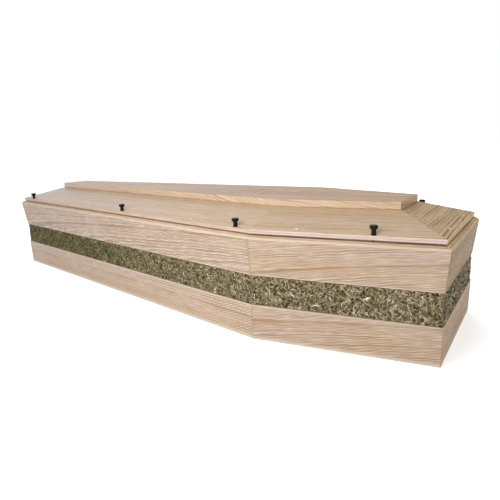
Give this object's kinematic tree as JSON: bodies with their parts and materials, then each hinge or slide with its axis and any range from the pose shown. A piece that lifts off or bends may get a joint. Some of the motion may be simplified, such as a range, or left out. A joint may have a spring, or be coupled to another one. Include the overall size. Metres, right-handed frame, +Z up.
{
  "type": "wooden coffin",
  "caption": "Shouldered wooden coffin with a band of pressed hay around its walls and a lift-off hipped lid held by knob-headed screws.",
  "frame": {"origin": "middle of the underside, half way along the rim's length", "axes": "+X towards the head end, +Y towards the right side, +Z up"},
  "size_m": [2, 0.685, 0.395],
  "materials": {
    "board_wood": "sawn and sanded softwood, no varnish",
    "lid_wood": "planed softwood, waxed",
    "pressed_hay": "pressed meadow hay, rough",
    "black_screw": "black, satin",
    "plug_wood": "cut end grain"
  },
  "bodies": {
    "root": {"floor_board": "board_wood", "lower_board_left_long": "board_wood", "lower_board_left_short": "board_wood", "lower_board_head": "board_wood", "lower_board_right_short": "board_wood", "lower_board_right_long": "board_wood", "lower_board_foot": "board_wood", "hay_panel_left_long": "pressed_hay", "hay_panel_left_short": "pressed_hay", "hay_panel_head": "pressed_hay", "hay_panel_right_short": "pressed_hay", "hay_panel_right_long": "pressed_hay", "hay_panel_foot": "pressed_hay", "upper_board_left_long": "board_wood", "upper_board_left_short": "board_wood", "upper_board_head": "board_wood", "upper_board_right_short": "board_wood", "upper_board_right_long": "board_wood", "upper_board_foot": "board_wood", "lid_slope_left_long": "lid_wood", "lid_slope_left_short": "lid_wood", "lid_slope_head": "lid_wood", "lid_slope_right_short": "lid_wood", "lid_slope_right_long": "lid_wood", "lid_slope_foot": "lid_wood", "lid_raised_board": "lid_wood", "lid_screw_left_1": "black_screw", "lid_screw_left_2": "black_screw", "lid_screw_left_3": "black_screw", "lid_screw_left_4": "black_screw", "lid_screw_right_1": "black_screw", "lid_screw_right_2": "black_screw", "lid_screw_right_3": "black_screw", "lid_screw_right_4": "black_screw", "lid_plug_left_long": "plug_wood", "lid_plug_left_short": "plug_wood", "lid_plug_head_left": "plug_wood", "lid_plug_head_right": "plug_wood", "lid_plug_right_short": "plug_wood", "lid_plug_right_long": "plug_wood"}
  },
  "joints": []
}
